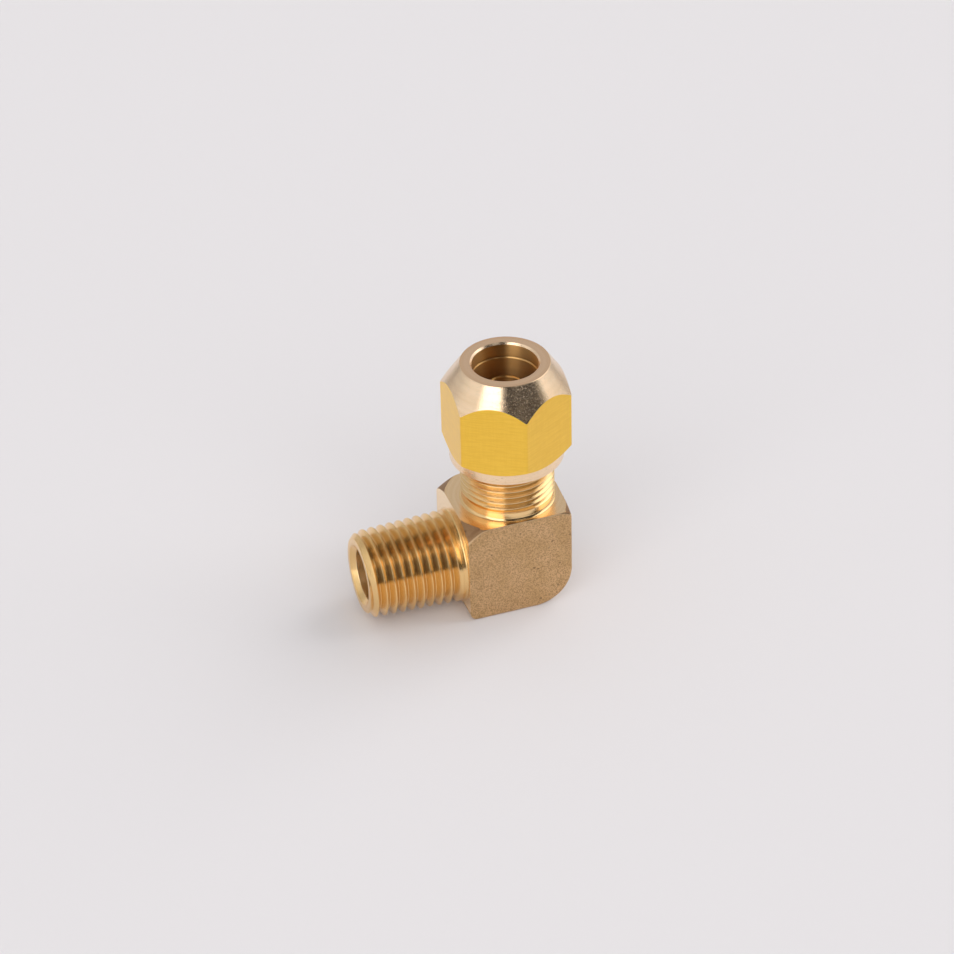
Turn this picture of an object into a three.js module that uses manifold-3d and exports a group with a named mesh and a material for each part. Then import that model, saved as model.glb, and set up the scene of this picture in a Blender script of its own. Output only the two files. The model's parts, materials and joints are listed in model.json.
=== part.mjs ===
// Brass 90-degree male elbow: a compression end for 3/8 in (9.5 mm) tube on a 1/4-18 tapered pipe thread.
// Millimetres, +Z up. The two legs cross at (0, 0, AXIS_HEIGHT). The compression leg rises along +Z and
// the pipe leg runs out along -X. The origin is on the block's underside, below that crossing.
// Heights and lengths in the sections below are counted from the crossing.

import * as THREE from "three";
import { mergeVertices } from "three/addons/utils/BufferGeometryUtils.js";
import Module from "manifold-3d";

const wasm = await Module();
wasm.setup();

const ROUND_SIDES = 48;
const THREAD_SIDES = 24;
const OVERCUT = 1;
const WELD = 1e-4;

// Forged block
const AXIS_HEIGHT = 7.3;
const BLOCK_TOP = 8.9;
const BLOCK_LEFT = -8.7;
const BLOCK_RIGHT = 7.5;
const BLOCK_HALF_WIDTH = 7.5;
const HEEL_RADIUS = 5.9;
const CORNER_RADIUS = 1;
const DRAFT_RISE = 0.35;
const PARTING_LAND = 0.4;
// The forging's shoulders are rounded as by a ball that leaves a flat disc of this radius on the top.
const TOP_DISC_RADIUS = 9.45;
const SHOULDER_BALL_DROP = 3.74;

// Compression leg: thread M14 x 1 with a plain neck below it
const NUT_PITCH = 1;
const NUT_CREST_RADIUS = 7;
const NUT_ROOT_RADIUS = 6.36;
const NECK_RADIUS = 6.8;
const NECK_FILLET = 0.5;
const NECK_TOP = 10.4;
const LEG_TOP = 22.5;
const LEG_CHAMFER = 0.7;

// Tube socket, its conical sleeve seat, and the passage below it
const TUBE_BORE_RADIUS = 4.85;
const SEAT_RADIUS = 5.6;
const CONE_RISE = 2;
const SOCKET_FLOOR = 13.5;
const PASSAGE_RADIUS = 3.2;

// Pipe leg: 1/4-18 taper thread, 1 in 16 on diameter
const PIPE_PITCH = 25.4 / 18;
const PIPE_LENGTH = 23.5;
const PIPE_CREST_RADIUS = 6.54;
const PIPE_THREAD_DEPTH = 1.03;
const PIPE_TAPER = 1 / 32;
const PIPE_THREAD_START = 9.8;
const PIPE_COLLAR_RADIUS = 6.95;
const PIPE_FILLET = 0.3;
const PIPE_FACE_RADIUS = 5.65;
const PIPE_BORE_RADIUS = 3.9;
const PIPE_MOUTH_RADIUS = 4.65;
const PIPE_BORE_PAST_AXIS = 3.2;
const DRILL_POINT_LENGTH = 2.3;

// Compression nut
const NUT_BOTTOM = 16.56;
const NUT_TOP = 32.53;
const HEX_BOTTOM = 18.2;
const HEX_ACROSS_FLATS = 17;
const HEX_TURN = THREE.MathUtils.degToRad(28.7);
const HEX_CHAMFER_RISE = 0.74;
const COLLAR_RADIUS = 8.49;
const RIM_RADIUS = 6.61;
const NUT_CONE_RISE = 1.48;
const NUT_MOUTH_CHAMFER = 0.27;
const NUT_THREAD_CLEARANCE = 0.16;
const NUT_THREAD_TOP = 24.6;
const NUT_RELIEF_RADIUS = 7.25;
const NUT_RELIEF_TOP = 25;
const CHAMBER_RADIUS = 6;
const NUT_SHOULDER = 30.3;
const NUT_SHOULDER_RADIUS = 5.15;

// Sleeve, tapered at both ends
const SLEEVE_BOTTOM = 23.1;
const SLEEVE_TOP = 30.1;
const SLEEVE_RADIUS = 5.75;
const SLEEVE_TIP_RADIUS = 5.05;

// Tube support: a thin liner with a flange, pressed into the passage
const SUPPORT_TOP = 28.2;
const SUPPORT_BOTTOM = 9;
const SUPPORT_RADIUS = 2.9;
const SUPPORT_BORE_RADIUS = 2.5;
const SUPPORT_SHANK_RADIUS = 3.18;
const SUPPORT_FLANGE_RADIUS = 4.6;
const SUPPORT_FLANGE_THICKNESS = 0.8;

const forgedBrass = new THREE.MeshStandardMaterial({ color: 0xb48c5a, roughness: 0.5, metalness: 1 });
const turnedBrass = new THREE.MeshStandardMaterial({ color: 0xe2b958, roughness: 0.25, metalness: 1 });
const drawnBrass = new THREE.MeshStandardMaterial({ color: 0xe8c04c, roughness: 0.3, metalness: 1 });

// A closed geometry as a manifold solid.
function solidOf(geometry) {
  geometry.deleteAttribute("normal");
  geometry.deleteAttribute("uv");
  const merged = mergeVertices(geometry, WELD);
  const corners = merged.index.array;
  const triVerts = [];
  for (let i = 0; i < corners.length; i += 3) {
    const [a, b, c] = [corners[i], corners[i + 1], corners[i + 2]];
    if (a !== b && b !== c && c !== a) triVerts.push(a, b, c);
  }
  const vertProperties = new Float32Array(merged.attributes.position.array);
  return new wasm.Manifold(
    new wasm.Mesh({ numProp: 3, vertProperties, triVerts: new Uint32Array(triVerts) }),
  );
}

// A manifold solid as a flat-shaded geometry.
function geometryOf(solid) {
  const { numProp, vertProperties, triVerts, numVert } = solid.getMesh();
  const positions = new Float32Array(numVert * 3);
  for (let i = 0; i < numVert; i++) {
    positions.set(vertProperties.subarray(i * numProp, i * numProp + 3), i * 3);
  }
  const indexed = new THREE.BufferGeometry();
  indexed.setAttribute("position", new THREE.BufferAttribute(positions, 3));
  indexed.setIndex(new THREE.BufferAttribute(new Uint32Array(triVerts), 1));
  const flat = indexed.toNonIndexed();
  flat.computeVertexNormals();
  return flat;
}

// Turns a profile of [radius, height] points about Z. The points run up the outside of the solid.
function revolve(profile) {
  const points = profile.map(([radius, height]) => new THREE.Vector2(radius, height));
  return new THREE.LatheGeometry(points, ROUND_SIDES).rotateX(Math.PI / 2);
}

// Turns a geometry made along +Z so that it lies along -X.
function layAlongPipeLeg(geometry) {
  return geometry.rotateY(-Math.PI / 2);
}

// A screw along +Z from start, closed at both ends. profile holds one pitch as [share of the pitch, level]
// pairs, where level 0 is the root and 1 the crest. radiusAt(height, level) gives the radius.
function screw(start, pitch, turns, profile, radiusAt) {
  const rows = profile.length;
  const columns = Math.ceil(turns * THREAD_SIDES);
  const positions = [];
  for (let column = 0; column <= columns; column++) {
    const angle = (column % THREAD_SIDES) * ((2 * Math.PI) / THREAD_SIDES);
    for (const [share, level] of profile) {
      const height = start + pitch * (column / THREAD_SIDES + share);
      const radius = radiusAt(height, level);
      positions.push(radius * Math.cos(angle), radius * Math.sin(angle), height);
    }
  }
  const at = (column, row) => column * rows + row;
  const triangles = [];
  for (let column = 0; column < columns; column++) {
    for (let row = 0; row + 1 < rows; row++) {
      triangles.push(at(column, row), at(column + 1, row), at(column + 1, row + 1));
      triangles.push(at(column, row), at(column + 1, row + 1), at(column, row + 1));
    }
    const above = column + THREAD_SIDES;
    if (above < columns) {
      triangles.push(at(column, rows - 1), at(column + 1, rows - 1), at(above + 1, 0));
      triangles.push(at(column, rows - 1), at(above + 1, 0), at(above, 0));
    }
  }
  const lower = [];
  for (let row = rows - 1; row > 0; row--) lower.push(at(0, row));
  for (let column = 0; column <= THREAD_SIDES; column++) lower.push(at(column, 0));
  const upper = [];
  for (let row = 0; row < rows; row++) upper.push(at(columns, row));
  for (let column = columns - 1; column >= columns - THREAD_SIDES; column--) {
    upper.push(at(column, rows - 1));
  }
  for (const [loop, height] of [[lower, positions[2]], [upper, positions[positions.length - 1]]]) {
    const centre = positions.length / 3;
    positions.push(0, 0, height);
    loop.forEach((vertex, i) => triangles.push(centre, loop[(i + 1) % loop.length], vertex));
  }
  const geometry = new THREE.BufferGeometry();
  geometry.setAttribute("position", new THREE.Float32BufferAttribute(positions, 3));
  geometry.setIndex(triangles);
  return geometry;
}

// One pitch of a 60-degree thread of the given depth, with its flats shared between root and crest.
function vThreadProfile(pitch, depth, crestShare) {
  const flank = (depth * Math.tan(Math.PI / 6)) / pitch;
  const crest = (1 - 2 * flank) * crestShare;
  return [
    [0, 0],
    [flank, 1],
    [flank + crest, 1],
    [2 * flank + crest, 0],
  ];
}

// The compression thread between two heights, grown by clearance. Its start is the same in every piece
// that uses it, so that nut and leg are in step.
function nutThread(bottom, top, clearance) {
  const depth = NUT_CREST_RADIUS - NUT_ROOT_RADIUS;
  const profile = vThreadProfile(NUT_PITCH, depth, 0.45);
  const start = Math.floor(bottom) - 2 * NUT_PITCH;
  const turns = (top - start) / NUT_PITCH + 2;
  const radiusAt = (height, level) => NUT_ROOT_RADIUS + clearance + level * depth;
  return solidOf(screw(start, NUT_PITCH, turns, profile, radiusAt));
}

function pipeThread() {
  const profile = vThreadProfile(PIPE_PITCH, PIPE_THREAD_DEPTH, 0.5);
  const start = PIPE_THREAD_START - 2 * PIPE_PITCH;
  const turns = (PIPE_LENGTH - start) / PIPE_PITCH + 2;
  const radiusAt = (height, level) => {
    const crest = PIPE_CREST_RADIUS + (PIPE_LENGTH - height) * PIPE_TAPER;
    return crest - (1 - level) * PIPE_THREAD_DEPTH;
  };
  return solidOf(layAlongPipeLeg(screw(start, PIPE_PITCH, turns, profile, radiusAt)));
}

// A quarter circle of [radius, height] points that widens a shaft down to the face it stands on.
function filletFoot(shaftRadius, fillet, face) {
  const steps = 4;
  return Array.from({ length: steps + 1 }, (_, i) => {
    const angle = ((i / steps) * Math.PI) / 2;
    const radius = shaftRadius + fillet * (1 - Math.sin(angle));
    return [radius, face + fillet * (1 - Math.cos(angle))];
  });
}

function blockOutline() {
  const bottom = -AXIS_HEIGHT;
  const outline = new THREE.Shape();
  outline.moveTo(BLOCK_LEFT, BLOCK_TOP);
  outline.lineTo(BLOCK_LEFT, bottom + CORNER_RADIUS);
  outline.absarc(BLOCK_LEFT + CORNER_RADIUS, bottom + CORNER_RADIUS, CORNER_RADIUS, Math.PI, Math.PI * 1.5);
  outline.absarc(BLOCK_RIGHT - HEEL_RADIUS, bottom + HEEL_RADIUS, HEEL_RADIUS, Math.PI * 1.5, Math.PI * 2);
  outline.absarc(BLOCK_RIGHT - CORNER_RADIUS, BLOCK_TOP - CORNER_RADIUS, CORNER_RADIUS, 0, Math.PI / 2);
  return outline;
}

// The forging: drafted towards its parting line, machined flat on the top, the left and the underside,
// with its upper shoulders rounded off.
function forgedBlock() {
  const drafted = new THREE.ExtrudeGeometry(blockOutline(), {
    depth: PARTING_LAND,
    bevelThickness: BLOCK_HALF_WIDTH - PARTING_LAND / 2,
    bevelSize: DRAFT_RISE,
    bevelSegments: 1,
    curveSegments: 8,
  });
  drafted.translate(0, 0, -PARTING_LAND / 2).rotateX(Math.PI / 2);
  const width = BLOCK_RIGHT + DRAFT_RISE + OVERCUT - BLOCK_LEFT;
  const height = BLOCK_TOP + AXIS_HEIGHT;
  const machined = new THREE.BoxGeometry(width, 3 * BLOCK_HALF_WIDTH, height);
  machined.translate(BLOCK_LEFT + width / 2, 0, height / 2 - AXIS_HEIGHT);
  const ballRadius = Math.hypot(TOP_DISC_RADIUS, BLOCK_TOP + SHOULDER_BALL_DROP);
  const ball = new THREE.SphereGeometry(ballRadius, ROUND_SIDES, ROUND_SIDES / 2);
  ball.rotateX(Math.PI / 2).translate(0, 0, -SHOULDER_BALL_DROP);
  return solidOf(drafted).intersect(solidOf(machined)).intersect(solidOf(ball));
}

function compressionLeg() {
  const foot = BLOCK_TOP - OVERCUT;
  const neck = revolve([
    [0, foot],
    [NECK_RADIUS + NECK_FILLET, foot],
    ...filletFoot(NECK_RADIUS, NECK_FILLET, BLOCK_TOP),
    [NECK_RADIUS, NECK_TOP],
    [0, NECK_TOP],
  ]);
  const envelope = revolve([
    [0, NECK_TOP - OVERCUT],
    [NECK_RADIUS, NECK_TOP - OVERCUT],
    [NUT_CREST_RADIUS + OVERCUT, NECK_TOP + OVERCUT],
    [NUT_CREST_RADIUS + OVERCUT, LEG_TOP - LEG_CHAMFER - OVERCUT],
    [NUT_CREST_RADIUS - LEG_CHAMFER, LEG_TOP],
    [0, LEG_TOP],
  ]);
  const thread = nutThread(NECK_TOP, LEG_TOP, 0).intersect(solidOf(envelope));
  return solidOf(neck).add(thread);
}

function pipeLeg() {
  const face = -BLOCK_LEFT;
  const foot = face - OVERCUT;
  const collar = revolve([
    [0, foot],
    [PIPE_COLLAR_RADIUS + PIPE_FILLET, foot],
    ...filletFoot(PIPE_COLLAR_RADIUS, PIPE_FILLET, face),
    [PIPE_COLLAR_RADIUS, PIPE_THREAD_START],
    [0, PIPE_THREAD_START],
  ]);
  const envelope = revolve([
    [0, foot],
    [PIPE_COLLAR_RADIUS, foot],
    [PIPE_COLLAR_RADIUS + OVERCUT, PIPE_THREAD_START + OVERCUT],
    [PIPE_COLLAR_RADIUS + OVERCUT, PIPE_LENGTH - OVERCUT - (PIPE_COLLAR_RADIUS - PIPE_FACE_RADIUS)],
    [PIPE_FACE_RADIUS, PIPE_LENGTH],
    [0, PIPE_LENGTH],
  ]);
  const thread = pipeThread().intersect(solidOf(layAlongPipeLeg(envelope)));
  return solidOf(layAlongPipeLeg(collar)).add(thread);
}

function socketCutter() {
  const seatDepth = (SEAT_RADIUS - TUBE_BORE_RADIUS) * CONE_RISE;
  return revolve([
    [0, 0],
    [PASSAGE_RADIUS, 0],
    [PASSAGE_RADIUS, SOCKET_FLOOR],
    [TUBE_BORE_RADIUS, SOCKET_FLOOR],
    [TUBE_BORE_RADIUS, LEG_TOP - seatDepth],
    [SEAT_RADIUS, LEG_TOP],
    [SEAT_RADIUS, LEG_TOP + OVERCUT],
    [0, LEG_TOP + OVERCUT],
  ]);
}

function pipeBoreCutter() {
  const mouthDepth = PIPE_MOUTH_RADIUS - PIPE_BORE_RADIUS;
  return layAlongPipeLeg(
    revolve([
      [0, -PIPE_BORE_PAST_AXIS - DRILL_POINT_LENGTH],
      [PIPE_BORE_RADIUS, -PIPE_BORE_PAST_AXIS],
      [PIPE_BORE_RADIUS, PIPE_LENGTH - mouthDepth],
      [PIPE_MOUTH_RADIUS, PIPE_LENGTH],
      [PIPE_MOUTH_RADIUS, PIPE_LENGTH + OVERCUT],
      [0, PIPE_LENGTH + OVERCUT],
    ]),
  );
}

function elbowBody() {
  return forgedBlock()
    .add(compressionLeg())
    .add(pipeLeg())
    .subtract(solidOf(socketCutter()))
    .subtract(solidOf(pipeBoreCutter()));
}

// The nut's outside: a hexagon with a long cone above and chamfered corners below, on a round collar.
function nutBlank() {
  const flat = HEX_ACROSS_FLATS / 2;
  const corner = flat / Math.cos(Math.PI / 6);
  const hexagon = new THREE.Shape(
    Array.from({ length: 6 }, (_, i) => {
      const angle = HEX_TURN + (i * Math.PI) / 3;
      return new THREE.Vector2(corner * Math.cos(angle), corner * Math.sin(angle));
    }),
  );
  const height = NUT_TOP - HEX_BOTTOM;
  const prism = new THREE.ExtrudeGeometry(hexagon, { depth: height, bevelEnabled: false });
  prism.translate(0, 0, HEX_BOTTOM);
  const widest = corner + OVERCUT;
  const turned = revolve([
    [0, HEX_BOTTOM],
    [flat, HEX_BOTTOM],
    [widest, HEX_BOTTOM + (widest - flat) * HEX_CHAMFER_RISE],
    [widest, NUT_TOP - (widest - RIM_RADIUS) * NUT_CONE_RISE],
    [RIM_RADIUS, NUT_TOP],
    [0, NUT_TOP],
  ]);
  const collar = revolve([
    [0, NUT_BOTTOM],
    [COLLAR_RADIUS, NUT_BOTTOM],
    [COLLAR_RADIUS, HEX_BOTTOM + NUT_MOUTH_CHAMFER],
    [0, HEX_BOTTOM + NUT_MOUTH_CHAMFER],
  ]);
  return solidOf(prism).intersect(solidOf(turned)).add(solidOf(collar));
}

// The space for the sleeve and the tube, above the nut's thread.
function nutChamberCutter() {
  const mouth = TUBE_BORE_RADIUS + NUT_MOUTH_CHAMFER;
  return revolve([
    [0, NUT_THREAD_TOP - NUT_PITCH / 2],
    [NUT_RELIEF_RADIUS, NUT_THREAD_TOP - NUT_PITCH / 2],
    [NUT_RELIEF_RADIUS, NUT_RELIEF_TOP],
    [CHAMBER_RADIUS, NUT_RELIEF_TOP + (NUT_RELIEF_RADIUS - CHAMBER_RADIUS) / 2],
    [CHAMBER_RADIUS, NUT_SHOULDER - (CHAMBER_RADIUS - NUT_SHOULDER_RADIUS) * CONE_RISE],
    [NUT_SHOULDER_RADIUS, NUT_SHOULDER],
    [TUBE_BORE_RADIUS, NUT_SHOULDER],
    [TUBE_BORE_RADIUS, NUT_TOP - NUT_MOUTH_CHAMFER],
    [mouth, NUT_TOP],
    [mouth, NUT_TOP + OVERCUT],
    [0, NUT_TOP + OVERCUT],
  ]);
}

// The nut's thread, with a chamfered way in from below.
function nutThreadCutter() {
  const entry = NUT_CREST_RADIUS + 2 * NUT_THREAD_CLEARANCE;
  const envelope = revolve([
    [0, NUT_BOTTOM - OVERCUT],
    [entry, NUT_BOTTOM - OVERCUT],
    [entry, NUT_THREAD_TOP],
    [0, NUT_THREAD_TOP],
  ]);
  const mouth = revolve([
    [0, NUT_BOTTOM - OVERCUT],
    [entry, NUT_BOTTOM - OVERCUT],
    [entry, NUT_BOTTOM],
    [NUT_ROOT_RADIUS, NUT_BOTTOM + entry - NUT_ROOT_RADIUS],
    [0, NUT_BOTTOM + entry - NUT_ROOT_RADIUS],
  ]);
  const thread = nutThread(NUT_BOTTOM - OVERCUT, NUT_THREAD_TOP, NUT_THREAD_CLEARANCE);
  return thread.intersect(solidOf(envelope)).add(solidOf(mouth));
}

function compressionNut() {
  return nutBlank().subtract(solidOf(nutChamberCutter())).subtract(nutThreadCutter());
}

function sleeve() {
  const taper = (SLEEVE_RADIUS - SLEEVE_TIP_RADIUS) * CONE_RISE;
  return solidOf(
    revolve([
      [TUBE_BORE_RADIUS, SLEEVE_BOTTOM],
      [SLEEVE_TIP_RADIUS, SLEEVE_BOTTOM],
      [SLEEVE_RADIUS, SLEEVE_BOTTOM + taper],
      [SLEEVE_RADIUS, SLEEVE_TOP - taper],
      [SLEEVE_TIP_RADIUS, SLEEVE_TOP],
      [TUBE_BORE_RADIUS, SLEEVE_TOP],
      [TUBE_BORE_RADIUS, SLEEVE_BOTTOM],
    ]),
  );
}

function tubeSupport() {
  return solidOf(
    revolve([
      [SUPPORT_BORE_RADIUS, SUPPORT_BOTTOM],
      [SUPPORT_SHANK_RADIUS, SUPPORT_BOTTOM],
      [SUPPORT_SHANK_RADIUS, SOCKET_FLOOR],
      [SUPPORT_FLANGE_RADIUS, SOCKET_FLOOR],
      [SUPPORT_FLANGE_RADIUS, SOCKET_FLOOR + SUPPORT_FLANGE_THICKNESS],
      [SUPPORT_RADIUS, SOCKET_FLOOR + SUPPORT_FLANGE_THICKNESS],
      [SUPPORT_RADIUS, SUPPORT_TOP],
      [SUPPORT_BORE_RADIUS, SUPPORT_TOP],
      [SUPPORT_BORE_RADIUS, SUPPORT_BOTTOM],
    ]),
  );
}

function namedMesh(name, solid, material) {
  const mesh = new THREE.Mesh(geometryOf(solid), material);
  mesh.name = name;
  return mesh;
}

const fitting = new THREE.Group();
const legs = new THREE.Group();
legs.position.z = AXIS_HEIGHT;
legs.add(namedMesh("elbow_body", elbowBody(), forgedBrass));
legs.add(namedMesh("tube_support", tubeSupport(), turnedBrass));
legs.add(namedMesh("sleeve", sleeve(), turnedBrass));
legs.add(namedMesh("compression_nut", compressionNut(), drawnBrass));
fitting.add(legs);

export default fitting;
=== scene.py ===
"""Looks of a brass right-angle compression fitting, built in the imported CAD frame.

Shapes are made in millimetres about the crossing of the two legs, with +Z up the compression leg and the
pipe leg along -X, and are placed in metres in the frame when they become pieces."""

import json
import math

import bpy
import numpy as np
from mathutils import Matrix, Vector


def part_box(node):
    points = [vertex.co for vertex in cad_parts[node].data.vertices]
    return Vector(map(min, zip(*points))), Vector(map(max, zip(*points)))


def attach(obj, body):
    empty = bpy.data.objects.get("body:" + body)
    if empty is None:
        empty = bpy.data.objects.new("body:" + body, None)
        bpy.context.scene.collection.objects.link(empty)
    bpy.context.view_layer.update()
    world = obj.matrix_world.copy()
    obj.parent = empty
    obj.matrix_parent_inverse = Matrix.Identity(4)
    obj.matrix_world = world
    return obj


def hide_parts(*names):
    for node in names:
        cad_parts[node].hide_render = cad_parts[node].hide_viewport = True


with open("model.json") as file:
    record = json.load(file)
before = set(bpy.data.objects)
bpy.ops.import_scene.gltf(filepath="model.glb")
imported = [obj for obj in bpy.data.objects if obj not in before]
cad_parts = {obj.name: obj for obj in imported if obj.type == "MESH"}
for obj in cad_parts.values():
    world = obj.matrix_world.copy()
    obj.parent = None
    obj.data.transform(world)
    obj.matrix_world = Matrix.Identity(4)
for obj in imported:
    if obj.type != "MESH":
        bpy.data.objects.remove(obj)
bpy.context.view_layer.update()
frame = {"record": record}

MM = 0.001
TAU = 2 * math.pi

# ---------------------------------------------------------------- places from the frame, in millimetres


def mount_point(name):
    mounts = {mount["name"]: mount for mount in frame["record"]["mounts"]}
    return Vector(mounts[name]["pos_m"]) / MM


def node_box(node):
    low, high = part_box(node)
    return low / MM, high / MM


AXIS_HEIGHT = mount_point("side_front").z
BODY_LOW, BODY_HIGH = node_box("elbow_body")
NUT_LOW, NUT_HIGH = node_box("compression_nut")
SLEEVE_LOW, SLEEVE_HIGH = node_box("sleeve")
SUPPORT_LOW, SUPPORT_HIGH = node_box("tube_support")
BODY_HALF_WIDTH = BODY_HIGH.y
LEG_TOP = BODY_HIGH.z - AXIS_HEIGHT
PIPE_END = -BODY_LOW.x
NUT_BOTTOM = NUT_LOW.z - AXIS_HEIGHT
NUT_TOP = NUT_HIGH.z - AXIS_HEIGHT
SLEEVE_BOTTOM = SLEEVE_LOW.z - AXIS_HEIGHT
SLEEVE_TOP = SLEEVE_HIGH.z - AXIS_HEIGHT
SUPPORT_BOTTOM = SUPPORT_LOW.z - AXIS_HEIGHT
SUPPORT_TOP = SUPPORT_HIGH.z - AXIS_HEIGHT

# ---------------------------------------------------------------- sizes, in millimetres from the crossing

TURNED_SIDES = 192
NUT_SIDES = 240
THREAD_SIDES = 120
FILLET_STEPS = 8
OVERCUT = 1.0

BLOCK_TOP = 8.9
BLOCK_LEFT = -8.7
BLOCK_RIGHT = 7.5
DRAFT_RISE = BODY_HIGH.x - BLOCK_RIGHT
HEEL_RADIUS = 5.9
CORNER_RADIUS = 1.0
LEFT_CORNER_RADIUS = 1.6
FORGED_TOP_EXTRA = 0.25
FORGED_EDGE = 0.45
SHOULDER_EDGE = 0.4
BALL_DROP = 3.74
BALL_RADIUS = 15.78
NEAR_CORNER_POWER = 6
NEAR_CORNER_FROM = 6.5
NEAR_CORNER_TO = 9.6
FORGED_SKIN_DEPTH = 0.02
FORGED_WAVES = ((0.012, 5, 5.0), (0.005, 6, 1.6))

NUT_PITCH = 1.0
NUT_CREST_RADIUS = 7.0
NUT_ROOT_RADIUS = 6.36
NUT_CREST_SHARE = 0.45
NUT_CREST_CUT = 0.02
NUT_ROOT_CUT = 0.04
NECK_RADIUS = 6.8
NECK_FILLET = 0.5
NECK_TOP = 10.4
NECK_OVERLAP = 0.15
COLLAR_OVERLAP = 0.1
THREAD_RUN_OUT = 0.2
LEG_CHAMFER = 0.7
TUBE_BORE_RADIUS = 4.85
SEAT_RADIUS = 5.6
CONE_RISE = 2.0
SOCKET_FLOOR = 13.5
PASSAGE_RADIUS = 3.2

PIPE_PITCH = 25.4 / 18
PIPE_CREST_RADIUS = 6.54
PIPE_THREAD_DEPTH = 1.03
PIPE_CREST_SHARE = 0.5
PIPE_CREST_CUT = 0.03
PIPE_ROOT_CUT = 0.05
PIPE_TAPER = 1 / 32
PIPE_THREAD_START = 9.3
PIPE_THREAD_FULL = 10.0
PIPE_THREAD_PHASE = 9.6
PIPE_COLLAR_RADIUS = 6.95
PIPE_FILLET = 0.3
PIPE_FACE_RADIUS = 5.65
PIPE_FACE_EDGE = 0.08
PIPE_BORE_RADIUS = 3.9
PIPE_BORE_EDGE = 0.06
PIPE_MOUTH_RADIUS = 4.65
PIPE_BORE_PAST_AXIS = 3.2
DRILL_POINT_LENGTH = 2.3

HEX_BOTTOM = 18.2
HEX_FLAT_RADIUS = 8.5
HEX_TURN = math.radians(28.7)
HEX_EDGE = 0.22
HEX_CHAMFER_RISE = 0.74
COLLAR_RADIUS = 8.49
COLLAR_EDGE = 0.15
RIM_RADIUS = 6.61
RIM_EDGE = 0.07
NUT_CONE_RISE = 1.48
NUT_MOUTH_CHAMFER = 0.27
NUT_BORE_EDGE = 0.05
NUT_THREAD_CLEARANCE = 0.16
NUT_THREAD_TOP = 24.6
NUT_RELIEF_RADIUS = 7.25
NUT_RELIEF_TOP = 25.0
CHAMBER_RADIUS = 6.0
NUT_SHOULDER = 30.3
NUT_SHOULDER_RADIUS = 5.15

SLEEVE_RADIUS = 5.75
SLEEVE_TIP_RADIUS = 5.05
SLEEVE_CHAMFER_WIDTH = 0.16
SLEEVE_CHAMFER_DEPTH = 0.18
SLEEVE_SHOULDER_CUT = 0.2
SLEEVE_EDGE = 0.04
SLEEVE_TOP_EDGE = 0.02

SUPPORT_RADIUS = 2.9
SUPPORT_BORE_RADIUS = 2.5
SUPPORT_SHANK_RADIUS = 3.18
SUPPORT_FLANGE_RADIUS = 4.6
SUPPORT_FLANGE_THICKNESS = 0.8
SUPPORT_FLANGE_EDGE = 0.06
SUPPORT_FLANGE_TOP_CUT = 0.12
SUPPORT_FOOT_CUT = 0.1
SUPPORT_EDGE = 0.08

SHARP_ANGLE = math.radians(32)

# ---------------------------------------------------------------- mesh building


def soften(points, loop=False, steps=4):
    """The outline with its corners rounded. A point is (x, y) or (x, y, cut), where cut is how far from the
    corner the rounding starts."""
    count = len(points)
    path = []
    for i, point in enumerate(points):
        at = np.array(point[:2], float)
        cut = point[2] if len(point) > 2 else 0
        if cut == 0 or (not loop and i in (0, count - 1)):
            path.append(tuple(at))
            continue
        before = np.array(points[i - 1][:2], float)
        after = np.array(points[(i + 1) % count][:2], float)
        start = at + (before - at) / np.linalg.norm(before - at) * cut
        end = at + (after - at) / np.linalg.norm(after - at) * cut
        for t in np.linspace(0, 1, steps + 1):
            path.append(tuple((1 - t) ** 2 * start + 2 * t * (1 - t) * at + t**2 * end))
    return path


def revolve(profile, sides=TURNED_SIDES, loop=False):
    """Vertices and faces of (radius, height) points turned about Z. The points run up the outside. They
    start and end on the axis unless they make a loop."""
    vertices, faces, rings = [], [], []
    for radius, height in profile:
        if radius < 1e-9:
            rings.append([len(vertices)] * sides)
            vertices.append((0.0, 0.0, height))
            continue
        rings.append(range(len(vertices), len(vertices) + sides))
        for i in range(sides):
            angle = TAU * i / sides
            vertices.append((radius * math.cos(angle), radius * math.sin(angle), height))
    lower_rings = rings if loop else rings[:-1]
    for row, low in enumerate(lower_rings):
        high = rings[(row + 1) % len(rings)]
        for i in range(sides):
            j = (i + 1) % sides
            face = tuple(dict.fromkeys((low[i], low[j], high[j], high[i])))
            if len(face) > 2:
                faces.append(face)
    return vertices, faces


def screw(start, pitch, turns, profile, radius_at, sides=THREAD_SIDES):
    """Vertices and faces of a screw along +Z. profile holds one pitch as (share of the pitch, level)
    points, with level 0 at the root and 1 at the crest."""
    rows = len(profile)
    columns = math.ceil(turns * sides)
    vertices = []
    for column in range(columns + 1):
        angle = TAU * (column % sides) / sides
        for share, level in profile:
            height = start + pitch * (column / sides + share)
            radius = radius_at(height, level)
            vertices.append((radius * math.cos(angle), radius * math.sin(angle), height))
    faces = []
    for column in range(columns):
        here, there = column * rows, (column + 1) * rows
        for row in range(rows - 1):
            faces.append((here + row, there + row, there + row + 1, here + row + 1))
        if column + sides < columns:
            above = (column + sides) * rows
            faces.append((here + rows - 1, there + rows - 1, above + rows, above))
    lower = [row for row in range(rows - 1, 0, -1)] + [column * rows for column in range(sides + 1)]
    last = columns * rows
    upper = [last + row for row in range(rows)]
    upper += [column * rows + rows - 1 for column in range(columns - 1, columns - sides - 1, -1)]
    for loop, height in ((lower, vertices[0][2]), (upper, vertices[-1][2])):
        centre = len(vertices)
        vertices.append((0.0, 0.0, height))
        faces += [(centre, loop[(i + 1) % len(loop)], loop[i]) for i in range(len(loop))]
    return vertices, faces


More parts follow.
